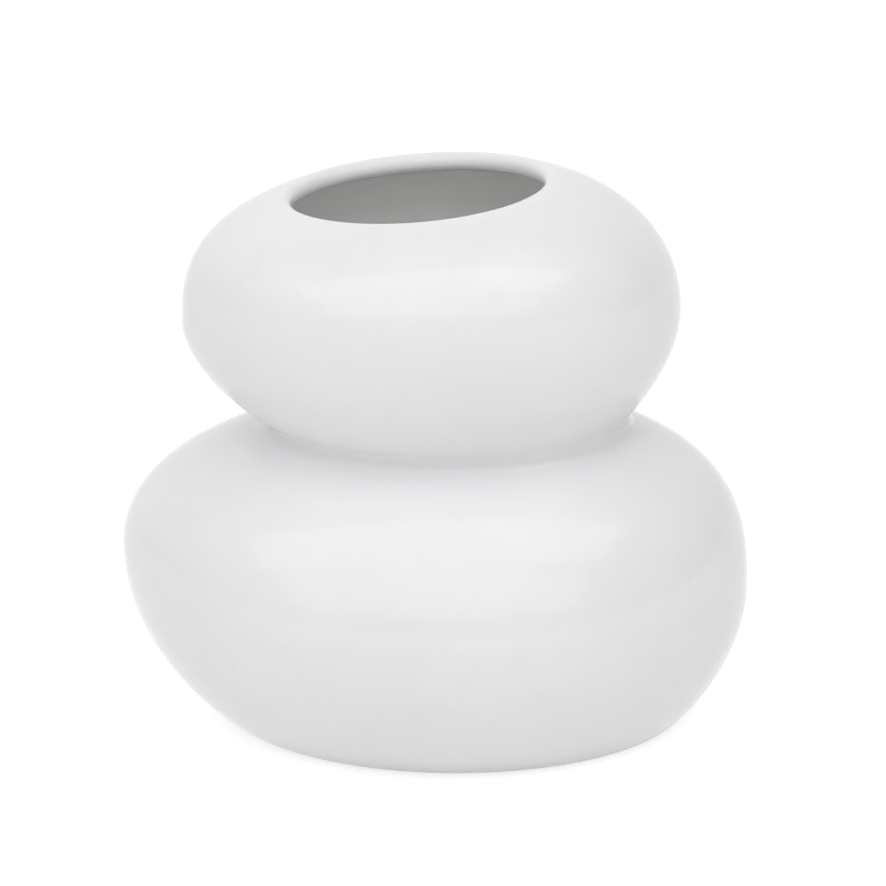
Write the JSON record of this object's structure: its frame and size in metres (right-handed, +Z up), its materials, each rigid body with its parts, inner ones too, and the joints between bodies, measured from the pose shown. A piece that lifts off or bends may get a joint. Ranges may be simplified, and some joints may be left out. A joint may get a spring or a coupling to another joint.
{
  "type": "vase",
  "caption": "Glazed ceramic flower vase: a small hollow oval pebble stacked on a larger pebble, with a tight crease between them and a tilted, round-lipped oval mouth.",
  "frame": {"origin": "on the surface that the vase stands on, below the middle of its outline", "axes": "+X along the length, towards the end where the mouth is high; +Y to the back; +Z up"},
  "size_m": [0.2101, 0.159, 0.1893],
  "materials": {
    "glaze": "gloss white glaze, wiped off the foot ring",
    "slip": "bare fired slip"
  },
  "bodies": {
    "root": {"lower_pebble": "glaze", "upper_pebble": "glaze", "slip_bed": "slip", "crease_coil": "glaze", "inner_seam_coil": "glaze"}
  },
  "joints": []
}
